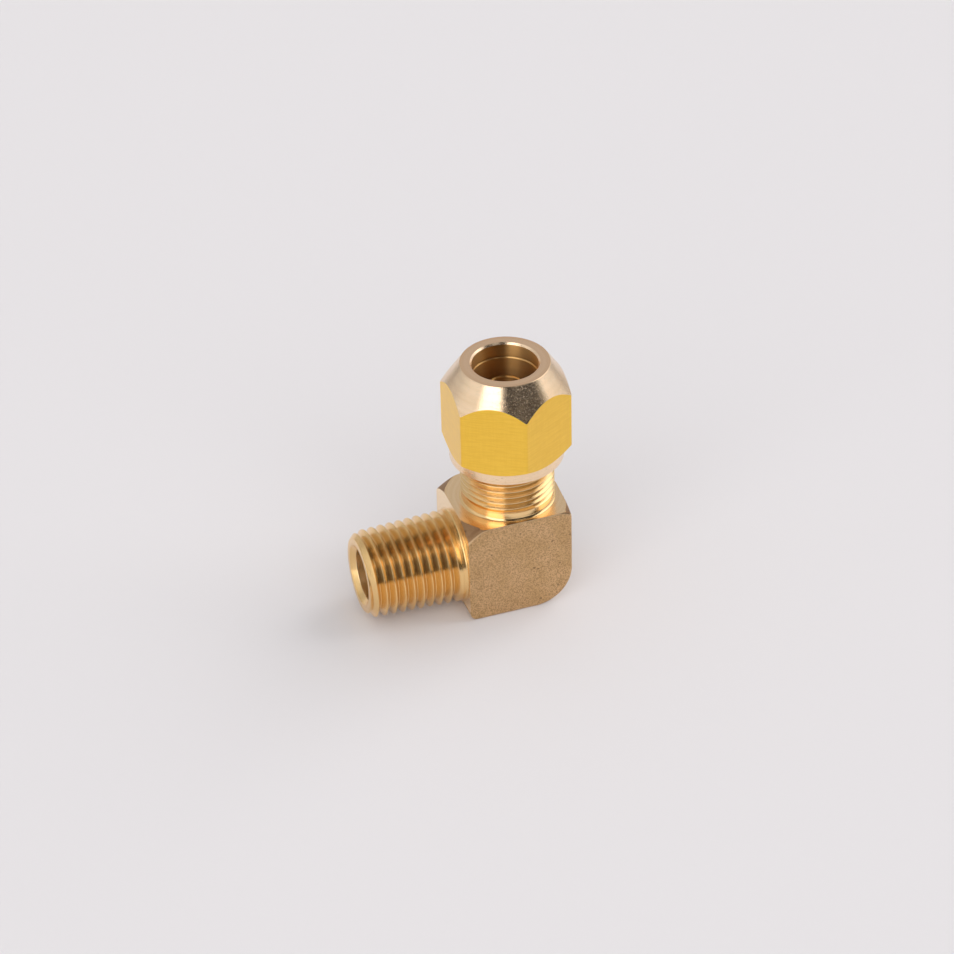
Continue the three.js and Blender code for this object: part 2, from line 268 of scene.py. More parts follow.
def v_thread_profile(pitch, depth, crest_share, crest_cut, root_cut):
    """One pitch of a 60-degree thread with rounded crest and root, as (share, level) points."""
    flank = depth * math.tan(math.radians(30))
    crest = (pitch - 2 * flank) * crest_share
    corners = [
        (0, 0, root_cut),
        (flank, depth, crest_cut),
        (flank + crest, depth, crest_cut),
        (2 * flank + crest, 0, root_cut),
    ]
    before = (corners[-1][0] - pitch, 0)
    after = (pitch, 0)
    path = soften([before, *corners, after], steps=3)[1:-1]
    return [(along / pitch, height / depth) for along, height in path]


def mesh_object(name, vertices, faces, turn=None):
    mesh = bpy.data.meshes.new(name)
    mesh.from_pydata([tuple(vertex) for vertex in vertices], [], faces)
    if turn is not None:
        mesh.transform(turn)
    mesh.update()
    made = bpy.data.objects.new(name, mesh)
    bpy.context.scene.collection.objects.link(made)
    return made


ALONG_PIPE = Matrix.Rotation(-math.pi / 2, 4, "Y")


def turned(name, profile, turn=None, **options):
    return mesh_object(name, *revolve(profile, **options), turn)


def joined(target, operation, tool):
    """target after a boolean with tool, which is used up."""
    modifier = target.modifiers.new("boolean", "BOOLEAN")
    modifier.operation = operation
    modifier.solver = "MANIFOLD"
    modifier.object = tool
    graph = bpy.context.evaluated_depsgraph_get()
    result = bpy.data.meshes.new_from_object(target.evaluated_get(graph))
    target.modifiers.clear()
    used = target.data
    target.data = result
    bpy.data.meshes.remove(used)
    bpy.data.meshes.remove(tool.data)
    return target


# ---------------------------------------------------------------- the forged block


def dense_at_ends(count):
    """count + 1 numbers from 0 to 1, closer together near both ends."""
    crowding = 0.85
    u = np.linspace(0, 1, count + 1)
    return u - crowding * np.sin(TAU * u) / TAU


def block_outline_points():
    """Points round the block's outline in x and z, from its top left corner down, as the forging leaves it:
    the machined top and left reach one OVERCUT further out."""
    left, right = BLOCK_LEFT - OVERCUT, BLOCK_RIGHT
    bottom, top = -AXIS_HEIGHT, BLOCK_TOP + OVERCUT
    stretches = [
        (56, lambda t: (left, top + (bottom - top) * t)),
        (48, lambda t: (left + (right - HEEL_RADIUS - left) * t, bottom)),
        (36, lambda t: (
            right - HEEL_RADIUS + HEEL_RADIUS * math.sin(t * math.pi / 2),
            bottom + HEEL_RADIUS - HEEL_RADIUS * math.cos(t * math.pi / 2),
        )),
        (44, lambda t: (right, bottom + HEEL_RADIUS + (top - bottom - HEEL_RADIUS) * t)),
        (64, lambda t: (right + (left - right) * t, top)),
    ]
    return np.array([shape(t) for count, shape in stretches for t in dense_at_ends(count)[:-1]])


def rounded_max(distances, radius):
    """The distance to where several surfaces meet, with that edge rounded."""
    inside = np.maximum(np.stack(distances) + radius, 0)
    deep = np.max(np.stack(distances), axis=0)
    return np.where(deep < -radius, deep, np.sqrt((inside**2).sum(axis=0)) - radius)


def corner_distance(along, up, radius):
    """Signed distance to a quarter-round corner, where along and up are distances past its two sides."""
    a, b = along + radius, up + radius
    return np.where((a > 0) & (b > 0), np.hypot(a, b) - radius, np.maximum(along, up))


def forged_distance(points):
    """Signed distance to the forging before it is machined: a block with drafted sides, cut by a ball that
    clips its shoulders. The ball is fuller at the near corners."""
    x, y, z = points.T
    draft = DRAFT_RISE * (1 - np.abs(y) / BODY_HALF_WIDTH)
    right = x - BLOCK_RIGHT - draft
    under = -AXIS_HEIGHT - z
    top = z - BLOCK_TOP - draft - FORGED_TOP_EXTRA
    left = BLOCK_LEFT - OVERCUT - x
    outline = np.maximum.reduce([
        corner_distance(right, under, HEEL_RADIUS),
        corner_distance(right, top, CORNER_RADIUS),
        np.maximum(left, under),
    ])
    sides = np.abs(y) - BODY_HALF_WIDTH
    fuller = BLOCK_LEFT**2 * (x / BLOCK_LEFT) ** NEAR_CORNER_POWER
    near = np.clip((-y - NEAR_CORNER_FROM) / (NEAR_CORNER_TO - NEAR_CORNER_FROM), 0, 1)
    across = (1 - near) * x**2 + near * fuller
    ball = np.sqrt(across + y**2 + (z + BALL_DROP) ** 2) - BALL_RADIUS
    return rounded_max([rounded_max([outline, sides], FORGED_EDGE), ball], SHOULDER_EDGE)


def undulation(points, seed, wavelength):
    """A smooth random height between about -1 and 1 at each point, from a few plane waves."""
    generator = np.random.default_rng(seed)
    total = np.zeros(len(points))
    waves = 14
    slowest, quickest = 0.6, 1.6
    for _ in range(waves):
        direction = generator.normal(size=3)
        direction *= generator.uniform(slowest, quickest) / np.linalg.norm(direction)
        total += np.sin(points @ direction * TAU / wavelength + generator.uniform(0, TAU))
    return total / math.sqrt(waves)


def drawn_to_forging(seeds, centre):
    """Each point moved along its ray from the centre onto the forging's surface, which halving finds."""
    steps, reach = 36, 1.5
    low, high = np.zeros(len(seeds)), np.full(len(seeds), reach)
    for _ in range(steps):
        share = (low + high) / 2
        inside = forged_distance(centre + (seeds - centre) * share[:, None]) < 0
        low = np.where(inside, share, low)
        high = np.where(inside, high, share)
    return centre + (seeds - centre) * low[:, None]


def net_faces(rows, columns):
    """Faces of a closed net: rows of points, then the two poles that close the first and the last row."""
    faces = []
    for row in range(rows - 1):
        here, there = row * columns, (row + 1) * columns
        for i in range(columns):
            j = (i + 1) % columns
            faces.append((here + i, there + i, there + j, here + j))
    first_pole, last_pole = rows * columns, rows * columns + 1
    last_row = (rows - 1) * columns
    for i in range(columns):
        j = (i + 1) % columns
        faces.append((first_pole, i, j))
        faces.append((last_pole, last_row + j, last_row + i))
    return faces


def with_uneven_skin(points, centre):
    """The points moved inwards by a little more here and less there, but evenly on the flat underside."""
    waviness = sum(height * undulation(points, seed, length) for height, seed, length in FORGED_WAVES)
    away = points - centre
    away /= np.linalg.norm(away, axis=1)[:, None]
    flat_base = points[:, 2] < -AXIS_HEIGHT + FORGED_SKIN_DEPTH
    moved = points - away * (FORGED_SKIN_DEPTH + np.where(flat_base, 0, waviness))[:, None]
    moved[flat_base, 2] = -AXIS_HEIGHT
    return moved


def forged_block():
    """The forging before it is machined, as a net that is fine where the surface bends."""
    side_rows, face_rows = 72, 46
    outline = block_outline_points()
    centre = np.array([(BLOCK_LEFT + BLOCK_RIGHT) / 2, 0, (BLOCK_TOP - AXIS_HEIGHT) / 2])
    across = (2 * dense_at_ends(side_rows) - 1) * BODY_HALF_WIDTH
    face_scales = [math.sin(i / face_rows * math.pi / 2) for i in range(1, face_rows)]
    rows = [(scale, -BODY_HALF_WIDTH) for scale in face_scales]
    rows += [(1.0, y) for y in across]
    rows += [(scale, BODY_HALF_WIDTH) for scale in reversed(face_scales)]
    middle = centre[[0, 2]]
    rings = []
    for scale, y in rows:
        ring = middle + (outline - middle) * scale
        rings.append(np.column_stack([ring[:, 0], np.full(len(ring), y), ring[:, 1]]))
    poles = [[centre[0], y, centre[2]] for y in (-BODY_HALF_WIDTH, BODY_HALF_WIDTH)]
    points = drawn_to_forging(np.vstack([*rings, poles]), centre)
    return mesh_object("elbow_body", with_uneven_skin(points, centre), net_faces(len(rows), len(outline)))


def prism(name, outline, low, high, turn=None):
    """A solid between two heights, from an outline that runs anticlockwise."""
    count = len(outline)
    vertices = [(x, y, low) for x, y in outline] + [(x, y, high) for x, y in outline]
    faces = [(i, (i + 1) % count, count + (i + 1) % count, count + i) for i in range(count)]
    faces += [tuple(reversed(range(count))), tuple(range(count, 2 * count))]
    return mesh_object(name, vertices, faces, turn)


def machined_space():
    """What is left after the top and left face are cut flat and the lower left corner is rounded."""
    reach = 2 * BODY_HALF_WIDTH
    steps = 16
    corner = []
    for i in range(steps + 1):
        angle = math.pi + i / steps * math.pi / 2
        corner.append((BLOCK_LEFT + LEFT_CORNER_RADIUS * (1 + math.cos(angle)),
                       -AXIS_HEIGHT + LEFT_CORNER_RADIUS * (1 + math.sin(angle))))
    outline = [*corner, (reach, -reach), (reach, BLOCK_TOP), (BLOCK_LEFT, BLOCK_TOP)]
    return prism("machining", outline, -reach, reach, Matrix.Rotation(math.pi / 2, 4, "X"))


# ---------------------------------------------------------------- the legs and bores


def fillet_foot(shaft_radius, fillet, face):
    """Profile points of the hollow round where a shaft stands on a face."""
    angles = [i / FILLET_STEPS * math.pi / 2 for i in range(FILLET_STEPS + 1)]
    return [(shaft_radius + fillet * (1 - math.sin(a)), face + fillet * (1 - math.cos(a))) for a in angles]


def compression_neck():
    return turned("neck", [
        (0, BLOCK_TOP - OVERCUT),
        (NECK_RADIUS + NECK_FILLET, BLOCK_TOP - OVERCUT),
        *fillet_foot(NECK_RADIUS, NECK_FILLET, BLOCK_TOP),
        (NECK_RADIUS, NECK_TOP),
        (0, NECK_TOP),
    ])


def compression_thread(name, bottom, top, clearance):
    depth = NUT_CREST_RADIUS - NUT_ROOT_RADIUS
    profile = v_thread_profile(NUT_PITCH, depth, NUT_CREST_SHARE, NUT_CREST_CUT, NUT_ROOT_CUT)
    start = math.floor(bottom) - 2 * NUT_PITCH
    turns = (top - start) / NUT_PITCH + 2
    return mesh_object(name, *screw(
        start, NUT_PITCH, turns, profile,
        lambda height, level: NUT_ROOT_RADIUS + clearance + level * depth,
    ))


def compression_leg_envelope():
    """The room for the leg's thread, which runs out on a cone just above the neck."""
    wide = NUT_CREST_RADIUS + OVERCUT
    foot = NECK_RADIUS - NECK_OVERLAP
    run_out = NECK_TOP - THREAD_RUN_OUT - NECK_OVERLAP
    return turned("envelope", [
        (0, NECK_TOP - OVERCUT),
        (foot, NECK_TOP - OVERCUT),
        (foot, run_out),
        (wide, run_out + wide - foot),
        (wide, LEG_TOP - LEG_CHAMFER - OVERCUT),
        (NUT_CREST_RADIUS - LEG_CHAMFER, LEG_TOP),
        (0, LEG_TOP),
    ])


def pipe_collar():
    foot = -BLOCK_LEFT - OVERCUT
    return turned("collar", [
        (0, foot),
        (PIPE_COLLAR_RADIUS + PIPE_FILLET, foot),
        *fillet_foot(PIPE_COLLAR_RADIUS, PIPE_FILLET, -BLOCK_LEFT),
        (PIPE_COLLAR_RADIUS, PIPE_THREAD_START + COLLAR_OVERLAP),
        (0, PIPE_THREAD_START + COLLAR_OVERLAP),
    ], ALONG_PIPE)


def pipe_thread():
    """The taper thread, whose groove grows to its full depth over its first turn."""
    profile = v_thread_profile(
        PIPE_PITCH, PIPE_THREAD_DEPTH, PIPE_CREST_SHARE, PIPE_CREST_CUT, PIPE_ROOT_CUT,
    )
    start = PIPE_THREAD_PHASE - 2 * PIPE_PITCH
    turns = (PIPE_END - start) / PIPE_PITCH + 2

    def radius_at(height, level):
        crest = PIPE_CREST_RADIUS + (PIPE_END - height) * PIPE_TAPER
        grown = (height - PIPE_THREAD_START) / (PIPE_THREAD_FULL - PIPE_THREAD_START)
        return crest - (1 - level) * PIPE_THREAD_DEPTH * min(1, max(0, grown))

    return mesh_object("pipe_thread", *screw(start, PIPE_PITCH, turns, profile, radius_at), ALONG_PIPE)


def pipe_leg_envelope():
    foot = -BLOCK_LEFT - OVERCUT
    wide = PIPE_COLLAR_RADIUS + OVERCUT
    return turned("pipe_envelope", soften([
        (0, foot),
        (PIPE_COLLAR_RADIUS, foot),
        (PIPE_COLLAR_RADIUS, PIPE_THREAD_START),
        (wide, PIPE_THREAD_START + OVERCUT),
        (wide, PIPE_END - OVERCUT - (PIPE_COLLAR_RADIUS - PIPE_FACE_RADIUS)),
        (PIPE_FACE_RADIUS, PIPE_END, PIPE_FACE_EDGE),
        (0, PIPE_END),
    ]), ALONG_PIPE)


def socket_cutter():
    seat_depth = (SEAT_RADIUS - TUBE_BORE_RADIUS) * CONE_RISE
    return turned("socket", [
        (0, 0),
        (PASSAGE_RADIUS, 0),
        (PASSAGE_RADIUS, SOCKET_FLOOR),
        (TUBE_BORE_RADIUS, SOCKET_FLOOR),
        (TUBE_BORE_RADIUS, LEG_TOP - seat_depth),
        (SEAT_RADIUS, LEG_TOP),
        (SEAT_RADIUS, LEG_TOP + OVERCUT),
        (0, LEG_TOP + OVERCUT),
    ])


def pipe_bore_cutter():
    mouth_depth = PIPE_MOUTH_RADIUS - PIPE_BORE_RADIUS
    return turned("pipe_bore", soften([
        (0, -PIPE_BORE_PAST_AXIS - DRILL_POINT_LENGTH),
        (PIPE_BORE_RADIUS, -PIPE_BORE_PAST_AXIS),
        (PIPE_BORE_RADIUS, PIPE_END - mouth_depth, PIPE_BORE_EDGE),
        (PIPE_MOUTH_RADIUS, PIPE_END),
        (PIPE_MOUTH_RADIUS, PIPE_END + OVERCUT),
        (0, PIPE_END + OVERCUT),
    ]), ALONG_PIPE)


def elbow_body():
    body = joined(forged_block(), "INTERSECT", machined_space())
    thread = compression_thread("leg_thread", NECK_TOP, LEG_TOP, 0)
    body = joined(body, "UNION", joined(thread, "INTERSECT", compression_leg_envelope()))
    body = joined(body, "UNION", compression_neck())
    body = joined(body, "UNION", joined(pipe_thread(), "INTERSECT", pipe_leg_envelope()))
    body = joined(body, "UNION", pipe_collar())
    body = joined(body, "DIFFERENCE", socket_cutter())
    return joined(body, "DIFFERENCE", pipe_bore_cutter())


# ---------------------------------------------------------------- the nut


def hexagon_prism(bottom, top):
    corner = HEX_FLAT_RADIUS / math.cos(math.pi / 6)
    corners = []
    for i in range(6):
        angle = HEX_TURN + i * math.pi / 3
        corners.append((corner * math.cos(angle), corner * math.sin(angle), HEX_EDGE))
    return prism("compression_nut", soften(corners, loop=True, steps=6), bottom, top)


def nut_envelope():
    widest = HEX_FLAT_RADIUS / math.cos(math.pi / 6) + OVERCUT
    return turned("nut_envelope", soften([
        (0, HEX_BOTTOM),
        (HEX_FLAT_RADIUS, HEX_BOTTOM),
        (widest, HEX_BOTTOM + (widest - HEX_FLAT_RADIUS) * HEX_CHAMFER_RISE),
        (widest, NUT_TOP - (widest - RIM_RADIUS) * NUT_CONE_RISE),
        (RIM_RADIUS, NUT_TOP, RIM_EDGE),
        (0, NUT_TOP),
    ]), sides=NUT_SIDES)


def nut_collar():
    return turned("nut_collar", soften([
        (0, NUT_BOTTOM),
        (COLLAR_RADIUS, NUT_BOTTOM, COLLAR_EDGE),
        (COLLAR_RADIUS, HEX_BOTTOM + NUT_MOUTH_CHAMFER),
        (0, HEX_BOTTOM + NUT_MOUTH_CHAMFER),
    ]), sides=NUT_SIDES)


def nut_chamber_cutter():
    mouth = TUBE_BORE_RADIUS + NUT_MOUTH_CHAMFER
    return turned("chamber", soften([
        (0, NUT_THREAD_TOP - NUT_PITCH / 2),
        (NUT_RELIEF_RADIUS, NUT_THREAD_TOP - NUT_PITCH / 2),
        (NUT_RELIEF_RADIUS, NUT_RELIEF_TOP),
        (CHAMBER_RADIUS, NUT_RELIEF_TOP + (NUT_RELIEF_RADIUS - CHAMBER_RADIUS) / 2),
        (CHAMBER_RADIUS, NUT_SHOULDER - (CHAMBER_RADIUS - NUT_SHOULDER_RADIUS) * CONE_RISE),
        (NUT_SHOULDER_RADIUS, NUT_SHOULDER),
        (TUBE_BORE_RADIUS, NUT_SHOULDER),
        (TUBE_BORE_RADIUS, NUT_TOP - NUT_MOUTH_CHAMFER, NUT_BORE_EDGE),
        (mouth, NUT_TOP),
        (mouth, NUT_TOP + OVERCUT),
        (0, NUT_TOP + OVERCUT),
    ]))


def nut_thread_cutter():
    entry = NUT_CREST_RADIUS + 2 * NUT_THREAD_CLEARANCE
    envelope = turned("thread_envelope", [
        (0, NUT_BOTTOM - OVERCUT),
        (entry, NUT_BOTTOM - OVERCUT),
        (entry, NUT_THREAD_TOP),
        (0, NUT_THREAD_TOP),
    ])
    mouth = turned("thread_mouth", [
        (0, NUT_BOTTOM - OVERCUT),
        (entry, NUT_BOTTOM - OVERCUT),
        (entry, NUT_BOTTOM),
        (NUT_ROOT_RADIUS, NUT_BOTTOM + entry - NUT_ROOT_RADIUS),
        (0, NUT_BOTTOM + entry - NUT_ROOT_RADIUS),
    ])
    thread = compression_thread("nut_thread", NUT_BOTTOM - OVERCUT, NUT_THREAD_TOP, NUT_THREAD_CLEARANCE)
    return joined(joined(thread, "INTERSECT", envelope), "UNION", mouth)


def compression_nut():
    nut = joined(hexagon_prism(HEX_BOTTOM, NUT_TOP), "INTERSECT", nut_envelope())
    nut = joined(nut, "UNION", nut_collar())
    nut = joined(nut, "DIFFERENCE", nut_chamber_cutter())
    return joined(nut, "DIFFERENCE", nut_thread_cutter())


# ---------------------------------------------------------------- the sleeve and the tube support


def sleeve():
    taper = (SLEEVE_RADIUS - SLEEVE_TIP_RADIUS) * CONE_RISE
    return turned("sleeve", soften([
        (TUBE_BORE_RADIUS, SLEEVE_BOTTOM, SLEEVE_EDGE),
        (SLEEVE_TIP_RADIUS, SLEEVE_BOTTOM, SLEEVE_EDGE),
        (SLEEVE_RADIUS, SLEEVE_BOTTOM + taper, SLEEVE_SHOULDER_CUT),
        (SLEEVE_RADIUS, SLEEVE_TOP - taper, SLEEVE_SHOULDER_CUT),
        (SLEEVE_TIP_RADIUS, SLEEVE_TOP, SLEEVE_TOP_EDGE),
        (TUBE_BORE_RADIUS + SLEEVE_CHAMFER_WIDTH, SLEEVE_TOP, SLEEVE_TOP_EDGE),
        (TUBE_BORE_RADIUS, SLEEVE_TOP - SLEEVE_CHAMFER_DEPTH, SLEEVE_TOP_EDGE),
    ], loop=True, steps=3), loop=True)


def tube_support():
    flange_top = SOCKET_FLOOR + SUPPORT_FLANGE_THICKNESS
    return turned("tube_support", soften([
        (SUPPORT_BORE_RADIUS, SUPPORT_BOTTOM, SUPPORT_EDGE),
        (SUPPORT_SHANK_RADIUS, SUPPORT_BOTTOM, SUPPORT_EDGE),
        (SUPPORT_SHANK_RADIUS, SOCKET_FLOOR),
        (SUPPORT_FLANGE_RADIUS, SOCKET_FLOOR, SUPPORT_FLANGE_EDGE),
        (SUPPORT_FLANGE_RADIUS, flange_top, SUPPORT_FLANGE_TOP_CUT),
        (SUPPORT_RADIUS, flange_top, SUPPORT_FOOT_CUT),
        (SUPPORT_RADIUS, SUPPORT_TOP, SUPPORT_EDGE),
        (SUPPORT_BORE_RADIUS, SUPPORT_TOP, SUPPORT_EDGE),
    ], loop=True, steps=3), loop=True)


# ---------------------------------------------------------------- material nodes


def node(tree, kind, inputs=None, **settings):
    """A new node. An input's value is a socket to link from, or a constant."""
    made = tree.nodes.new(kind)
    for setting, value in settings.items():
        setattr(made, setting, value)
    for key, value in (inputs or {}).items():
        if isinstance(value, bpy.types.NodeSocket):
            tree.links.new(value, made.inputs[key])
        else:
            made.inputs[key].default_value = value
    return made


def maths(tree, operation, *values):
    return node(tree, "ShaderNodeMath", dict(enumerate(values)), operation=operation).outputs[0]


def vector_maths(tree, operation, *values):
    made = node(tree, "ShaderNodeVectorMath", dict(enumerate(values)), operation=operation)
    return made.outputs["Value" if operation in ("DOT_PRODUCT", "LENGTH") else "Vector"]


def ramp(tree, factor, low, high):
    """0 at low and 1 at high, with a smooth step between them."""
    made = node(tree, "ShaderNodeMapRange", {"Value": factor, "From Min": low, "From Max": high})
    made.interpolation_type = "SMOOTHSTEP"
    return made.outputs["Result"]


def blend(tree, kind, factor, first, second):
    """first where factor is 0 and second where it is 1. kind is Color or Float."""
    made = node(tree, "ShaderNodeMix", data_type={"Color": "RGBA", "Float": "FLOAT"}[kind])
    inputs = {socket.identifier: socket for socket in made.inputs}
    for key, value in (("Factor_Float", factor), (f"A_{kind}", first), (f"B_{kind}", second)):
        if isinstance(value, bpy.types.NodeSocket):
            tree.links.new(value, inputs[key])
        else:
            inputs[key].default_value = value
    outputs = {socket.identifier: socket for socket in made.outputs}
    return outputs[f"Result_{kind}"]


def blend_colours(tree, factor, first, second):
    return blend(tree, "Color", factor, first, second)


def blend_numbers(tree, factor, first, second):
    return blend(tree, "Float", factor, first, second)


def noise(tree, vector, scale, detail=2.0, roughness=0.5):
    inputs = {"Vector": vector, "Scale": scale, "Detail": detail, "Roughness": roughness}
    return node(tree, "ShaderNodeTexNoise", inputs).outputs["Fac"]


def colour(red, green, blue):
    return (red, green, blue, 1.0)


RING_SCALE = 9.0
BROAD_RING_SCALE = 1.5
BROAD_RING_SHARE = 0.6
RING_DRIFT = 0.03
WEAR_SCALE = 1.4
WEAR_RAMP = (0.35, 0.7)
GRAIN_SCALE = 8.0
NICK_SCALE = 6.0
NICK_RAMP = (0.63, 0.70)
WORN_SHADE = (0.96, 0.92, 0.86)
ROUGHNESS_SPREAD = 0.06
ACROSS_THE_GROOVES = 0.25
FILM_ROUGHNESS = 0.2

FORGED_GRAIN_SCALE = 7.0
FORGED_FINE_SCALE = 14.0
FORGED_BROAD_SCALE = 0.35
FORGED_RELIEF = 0.035
GRAIN_HEIGHT = 0.6
FINE_HEIGHT = 0.5
PIT_DEPTH = 1.2
FORGED_ROUGHNESS = 0.44
FORGED_ROUGHNESS_SPREAD = 0.16
PIT_SCALE = 0.5
PIT_RAGGEDNESS = 0.45
PIT_RAMP = (0.11, 0.05)
PIT_SHADE = 0.6
STAIN_RAMP = (0.3, 0.75)
FRECKLE_RAMP = (0.56, 0.4)
# Where pale flecks are painted on the forging as glints, and how strongly.
PAINTED_GLINT_RAMP = (0.56, 0.7)
PAINTED_GLINT_SHARE = 0.5
SIDE_TILT = (0.1, 0.2)
SHOULDER_TILT = (0.36, 0.5)
SHOULDER_ROUGHER = 1.4
# How far the shoulders are browned: partly their own rougher skin, partly painted shade.
SHOULDER_SHADE_AND_BROWN_SHARE = 0.75
# How strongly the shoulders' edges are paled, partly as wear and partly as a painted highlight.
EDGE_WEAR_AND_HIGHLIGHT_SHARE = 0.45
FORGED_LIGHT = (0.78, 0.53, 0.29)
FORGED_STAIN = (0.68, 0.45, 0.22)
FORGED_DARK = (0.47, 0.29, 0.13)
# Pale colour painted on the forging as glints, and for the line along the shoulders' edges, which is partly
# wear and partly a painted highlight.
FORGED_PALE_HIGHLIGHT_AND_WEAR = (0.92, 0.70, 0.44)
# The shoulders' brown, partly their own colour and partly painted shade.
SHOULDER_BROWN_AND_SHADE = (0.33, 0.19, 0.105)
PIT_BROWN = (0.10, 0.05, 0.025)

DRAW_LINE_STRETCH = (1.0, 1.0, 0.06)
SCUFF_STRETCH = (0.07, 0.07, 1.0)
DRAW_LINE_SCALE = 4.0
SCUFF_SCALE = 5.0
DRAWN_GRAIN_SCALE = 9.0
DRAWN_RELIEF = 0.005
DRAW_LINE_HEIGHT = 0.25
DRAWN_GRAIN_HEIGHT = 0.3
DRAW_LINE_RAMP = (0.62, 0.4)
DRAW_LINE_SHADE = 0.22
SCUFF_RAMP = (0.6, 0.4)
SCUFF_SHADE = 0.5
DRAWN_ROUGHNESS = 0.3
DRAWN_ROUGHNESS_SPREAD = 0.2
DRAWN_FILM = 0.45
DRAWN_YELLOW = (0.99, 0.635, 0.075)
DRAWN_DEEP = (0.89, 0.53, 0.05)


def brass_shader(name):
    """A new material with one metal shader, and the position on the piece in millimetres."""
    material = bpy.data.materials.new(name)
    material.use_nodes = True
    tree = material.node_tree
    shader = tree.nodes["Principled BSDF"]
    shader.inputs["Metallic"].default_value = 1.0
    place = node(tree, "ShaderNodeTexCoord").outputs["Object"]
    return material, tree, shader, vector_maths(tree, "MULTIPLY", place, (1 / MM,) * 3)


def bumped(tree, shader, height, depth):
    """Adds a height, in units of depth millimetres, to the shader's normal."""
    bump = node(tree, "ShaderNodeBump", {"Height": height, "Strength": 1.0, "Distance": depth * MM})
    tree.links.new(bump.outputs["Normal"], shader.inputs["Normal"])


def oiled(shader, weight):
    """A thin film that pales the highlights and the surfaces seen at a slant."""
    shader.inputs["Coat Weight"].default_value = weight
    shader.inputs["Coat Roughness"].default_value = FILM_ROUGHNESS


def around(tree, place, axis, centre):
    """How far along the axis and out from it a point lies, and the direction the tool moved past it."""
    from_axis = vector_maths(tree, "SUBTRACT", place, centre)
    along = vector_maths(tree, "DOT_PRODUCT", from_axis, axis)
    groove = vector_maths(tree, "CROSS_PRODUCT", axis, from_axis)
    return along, vector_maths(tree, "LENGTH", groove), groove


def tool_rings(tree, along, out, facing):
    """A position that changes along the axis and outwards, and hardly at all round it."""
    rings = node(tree, "ShaderNodeCombineXYZ", {"X": along, "Y": out}).outputs["Vector"]
    drift = vector_maths(tree, "MULTIPLY", facing, (RING_DRIFT,) * 3)
    return vector_maths(tree, "ADD", rings, drift)


def brushed(tree, shader, direction, strength):
    """Spreads the highlights across grooves that run in a direction, which is given in object space."""
    shader.inputs["Anisotropic"].default_value = strength
    shader.inputs["Anisotropic Rotation"].default_value = ACROSS_THE_GROOVES
    to_world = node(tree, "ShaderNodeVectorTransform", {"Vector": direction})
    to_world.vector_type = "VECTOR"
    to_world.convert_from = "OBJECT"
    to_world.convert_to = "WORLD"
    tree.links.new(to_world.outputs["Vector"], shader.inputs["Tangent"])


def turned_brass(name, axis, tint, roughness, directional=0.8, grooves=0.003, grain=0.002, nicks=0.0,
                 film=0.3):
    """Metal cut on a lathe: fine rings about the axis, and highlights that spread across them. The depths
    of the grooves, grain and nicks are in millimetres."""
    material, tree, shader, place = brass_shader(name)
    along, out, groove = around(tree, place, axis, (0.0, 0.0, AXIS_HEIGHT))
    facing = vector_maths(tree, "NORMALIZE", groove)
    lines_at = tool_rings(tree, along, out, facing)
    lines = noise(tree, lines_at, RING_SCALE, detail=3.0, roughness=0.65)
    broad = noise(tree, lines_at, BROAD_RING_SCALE)
    grains = noise(tree, place, GRAIN_SCALE, detail=3.0, roughness=0.7)
    marks = maths(tree, "ADD", lines, maths(tree, "MULTIPLY", broad, BROAD_RING_SHARE))
    nicked = ramp(tree, noise(tree, place, NICK_SCALE, roughness=0.7), *NICK_RAMP)
    specks = maths(tree, "ADD", maths(tree, "MULTIPLY", grains, grain / grooves),
                   maths(tree, "MULTIPLY", nicked, -nicks / grooves))
    bumped(tree, shader, maths(tree, "ADD", marks, specks), grooves)
    worn = noise(tree, lines_at, WEAR_SCALE, detail=3.0)
    deep = tuple(part * share for part, share in zip(tint, WORN_SHADE))
    shade = blend_colours(tree, ramp(tree, worn, *WEAR_RAMP), colour(*tint), colour(*deep))
    tree.links.new(shade, shader.inputs["Base Color"])
    spread = maths(tree, "MULTIPLY", worn, ROUGHNESS_SPREAD)
    varied = maths(tree, "ADD", roughness - ROUGHNESS_SPREAD / 2, spread)
    tree.links.new(varied, shader.inputs["Roughness"])
    oiled(shader, film)
    brushed(tree, shader, facing, directional)
    return material


